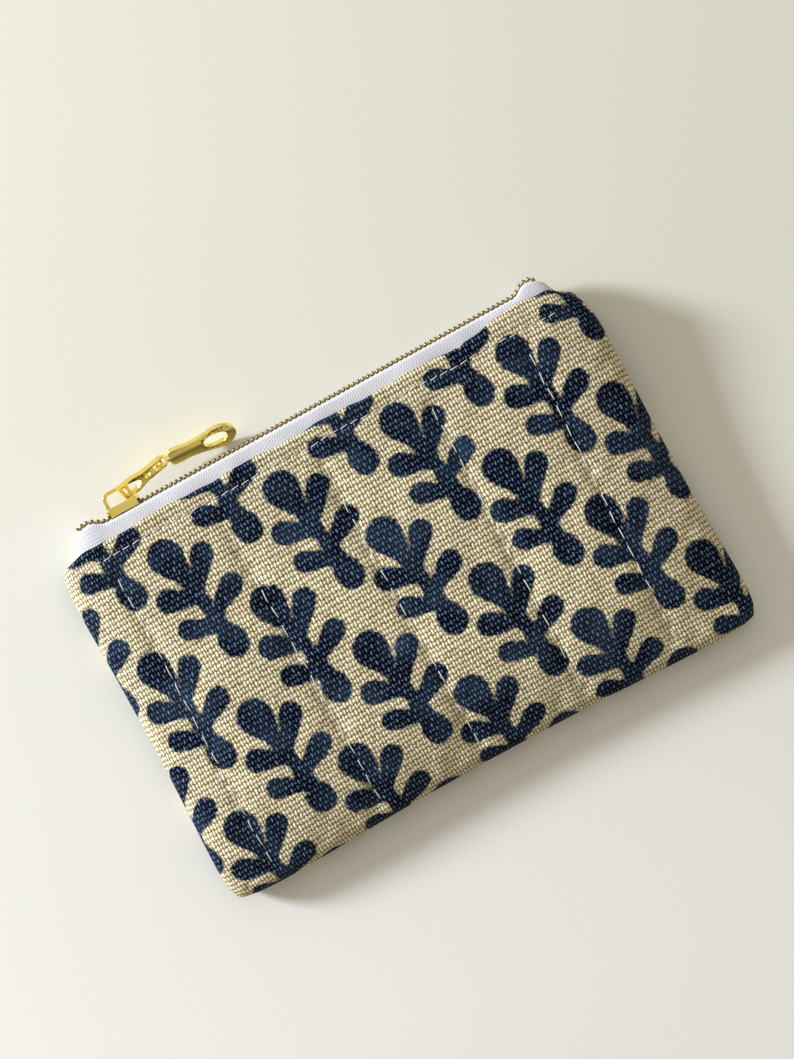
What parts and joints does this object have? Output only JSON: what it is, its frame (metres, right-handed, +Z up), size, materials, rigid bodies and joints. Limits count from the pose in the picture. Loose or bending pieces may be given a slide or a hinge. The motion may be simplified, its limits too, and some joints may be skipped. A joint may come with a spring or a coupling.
{
  "type": "zippered pouch",
  "caption": "Small quilted canvas zip pouch lying flat, with a coil zipper along one long edge, a slider and a two-piece metal pull.",
  "frame": {"origin": "middle of the flat area of the back panel that the pouch rests on", "axes": "+X along the zipper from the closed end to the open end, +Y from the bottom edge to the zipper, +Z up, out of the front panel"},
  "size_m": [0.1412, 0.1014, 0.0133],
  "materials": {
    "canvas": "matte",
    "batting": "matte",
    "lining": "matte",
    "zipper_tape": "matte",
    "zipper_coil": "metallic",
    "white_thread": "satin",
    "gold_metal": "polished"
  },
  "bodies": {
    "pouch": {"front_canvas": "canvas", "back_canvas": "canvas", "front_batting": "batting", "back_batting": "batting", "front_lining": "lining", "back_lining": "lining", "front_zipper_tape": "zipper_tape", "back_zipper_tape": "zipper_tape", "front_zipper_coil": "zipper_coil", "back_zipper_coil": "zipper_coil", "front_coil_cord": "white_thread", "back_coil_cord": "white_thread", "front_coil_stitches": "white_thread", "back_coil_stitches": "white_thread", "front_topstitching": "white_thread", "back_topstitching": "white_thread", "front_quilting": "white_thread", "back_quilting": "white_thread", "left_seam_thread": "white_thread", "right_seam_thread": "white_thread", "bottom_seam_thread": "white_thread", "lining_seam_thread": "white_thread", "left_end_tack": "white_thread", "right_end_tack": "white_thread"},
    "slider": {"slider_body": "gold_metal", "slider_bail": "gold_metal"},
    "link": {"pull_link": "gold_metal"},
    "tab": {"pull_tab": "gold_metal"}
  },
  "joints": [
    {"name": "slider_travel", "type": "slide", "parent": "pouch", "child": "slider", "axis": [1, 0, 0], "range_m": [0, 0.098]},
    {"name": "link_swing", "type": "hinge", "parent": "slider", "child": "link", "pos_m": [-0.0469, 0.05368, 0.0064], "axis": [0, 0, 1], "range_deg": [-2, 120]},
    {"name": "tab_swing", "type": "hinge", "parent": "link", "child": "tab", "pos_m": [-0.03575, 0.05585, 0.00547], "axis": [0, 0, 1], "range_deg": [-2, 60]}
  ]
}
